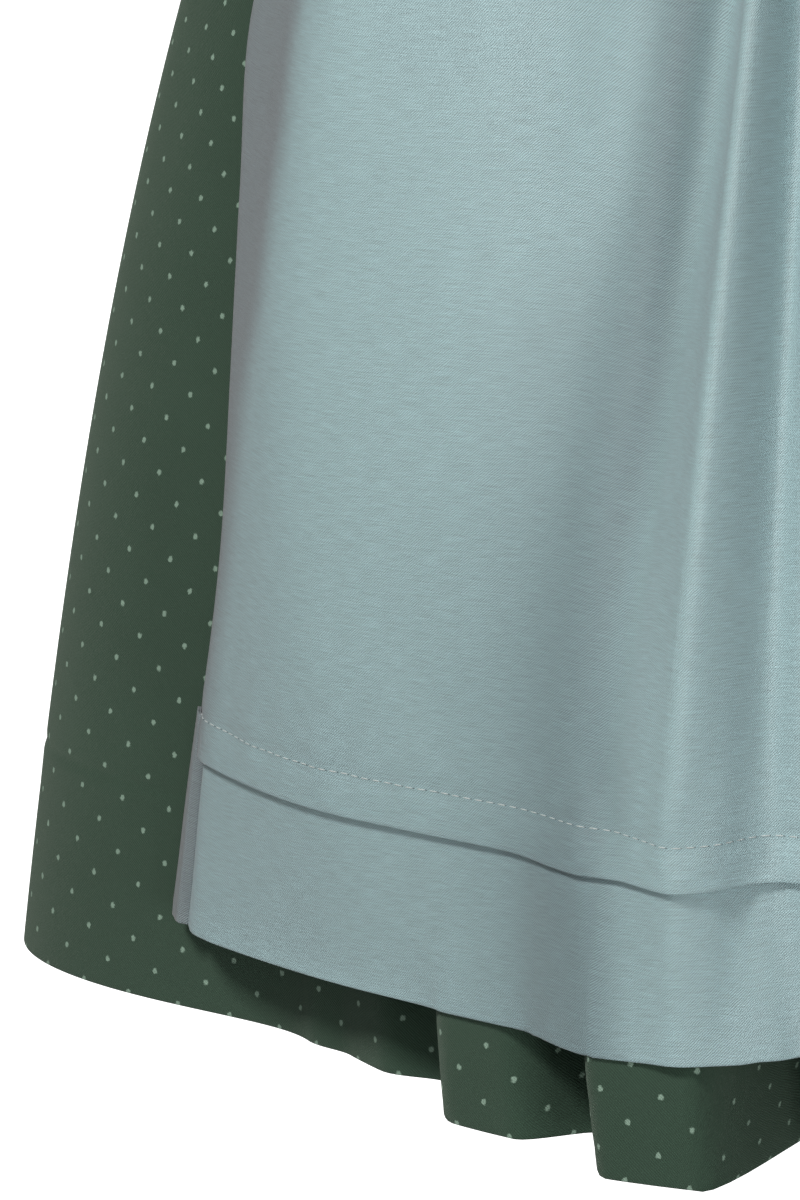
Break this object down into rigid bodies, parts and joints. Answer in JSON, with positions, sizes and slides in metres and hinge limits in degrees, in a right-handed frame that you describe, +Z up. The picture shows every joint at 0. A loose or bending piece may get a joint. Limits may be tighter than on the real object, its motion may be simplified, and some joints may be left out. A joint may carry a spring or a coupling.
{
  "type": "dirndl dress with apron",
  "caption": "Sleeveless dirndl dress with a full dotted skirt, a fitted buttoned bodice and a plain tied apron with a tucked hem, hanging hollow as worn.",
  "frame": {"origin": "between the two shoulder straps, at the height of the shoulder seams, where the wearer's shoulders carry the dress", "axes": "+Z up; the front faces -Y; the wearer's right side is -X"},
  "size_m": [0.6575, 0.5471, 1.0801],
  "materials": {
    "dress_cloth": "matt fine twill, dark green with small pale dots",
    "apron_cloth": "soft sheen twill, pale blue-green shot with pinkish grey",
    "button_metal": "satin old-silver buttons"
  },
  "bodies": {
    "root": {"bodice_front_right": "dress_cloth", "bodice_front_left": "dress_cloth", "bodice_side_front_right": "dress_cloth", "bodice_side_front_left": "dress_cloth", "bodice_side_back_right": "dress_cloth", "bodice_side_back_left": "dress_cloth", "bodice_back_right": "dress_cloth", "bodice_back_left": "dress_cloth", "skirt_front": "dress_cloth", "skirt_back": "dress_cloth", "apron_panel": "apron_cloth", "apron_border": "apron_cloth", "apron_waistband": "apron_cloth", "apron_tie_right": "apron_cloth", "apron_tie_left": "apron_cloth", "bow_knot": "apron_cloth", "bow_loop_right": "apron_cloth", "bow_loop_left": "apron_cloth", "bow_tail_right": "apron_cloth", "bow_tail_left": "apron_cloth", "button_1": "button_metal", "button_2": "button_metal", "button_3": "button_metal", "button_4": "button_metal", "button_5": "button_metal", "button_6": "button_metal"}
  },
  "joints": []
}
